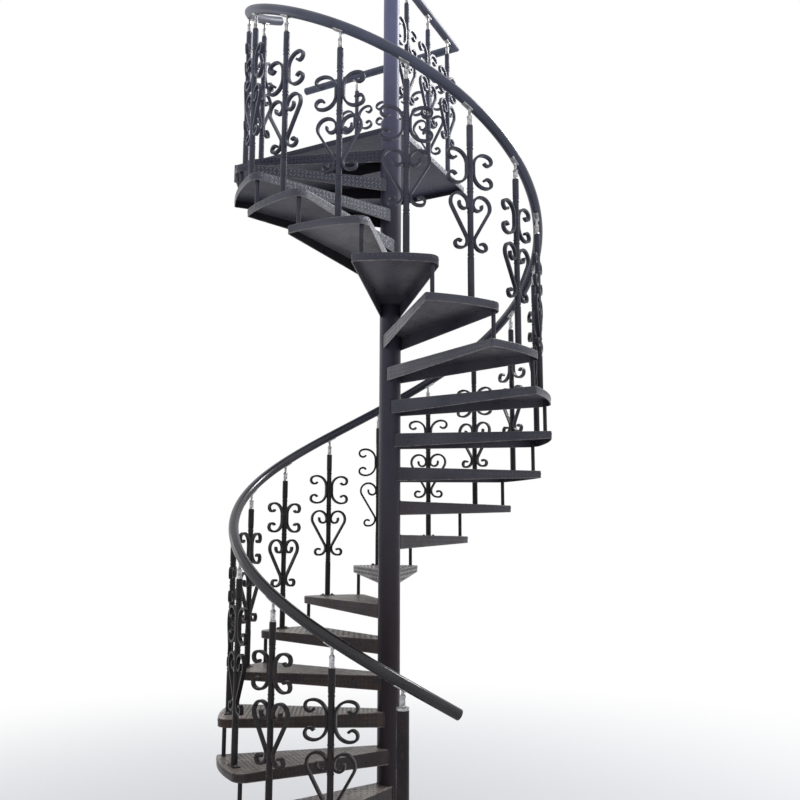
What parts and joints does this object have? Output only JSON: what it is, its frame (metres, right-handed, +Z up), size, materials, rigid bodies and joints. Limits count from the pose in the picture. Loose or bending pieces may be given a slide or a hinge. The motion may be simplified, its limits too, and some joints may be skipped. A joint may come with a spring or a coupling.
{
  "type": "spiral staircase",
  "caption": "Outdoor steel spiral staircase winding clockwise up a central pole to a square landing, with folded plate treads, scrolled balusters and a round handrail",
  "frame": {"origin": "centre of the base plate's underside, on the pole's axis, at ground level", "axes": "+Z up along the pole; -Y is the front, where the first tread points; the landing reaches towards -X, square to the axes"},
  "size_m": [2.03, 1.805, 4.9705],
  "materials": {
    "tread_plate": "satin",
    "column_steel": "semi-gloss",
    "rail_paint": "semi-gloss",
    "wrought_iron": "satin",
    "silver_fittings": "satin"
  },
  "bodies": {
    "root": {"back_balusters": "wrought_iron", "back_fittings": "silver_fittings", "back_rail": "rail_paint", "balusters_1": "wrought_iron", "balusters_2": "wrought_iron", "balusters_3": "wrought_iron", "balusters_4": "wrought_iron", "balusters_5": "wrought_iron", "base_plate": "column_steel", "guard_balusters": "wrought_iron", "guard_fittings": "silver_fittings", "guard_rail": "rail_paint", "handrail_1": "rail_paint", "handrail_2": "rail_paint", "handrail_3": "rail_paint", "handrail_4": "rail_paint", "handrail_5": "rail_paint", "handrail_6": "rail_paint", "landing": "tread_plate", "newel_post": "wrought_iron", "nose_rods": "wrought_iron", "pole": "column_steel", "pole_cap": "column_steel", "rail_fittings": "silver_fittings", "sleeves_lower": "column_steel", "sleeves_upper": "column_steel", "tread_01": "tread_plate", "tread_02": "tread_plate", "tread_03": "tread_plate", "tread_04": "tread_plate", "tread_05": "tread_plate", "tread_06": "tread_plate", "tread_07": "tread_plate", "tread_08": "tread_plate", "tread_09": "tread_plate", "tread_10": "tread_plate", "tread_11": "tread_plate", "tread_12": "tread_plate", "tread_13": "tread_plate", "tread_14": "tread_plate", "tread_15": "tread_plate", "tread_16": "tread_plate", "tread_17": "tread_plate", "tread_18": "tread_plate", "tread_19": "tread_plate", "tread_20": "tread_plate", "tread_21": "tread_plate", "wall_flange": "column_steel"}
  },
  "joints": []
}
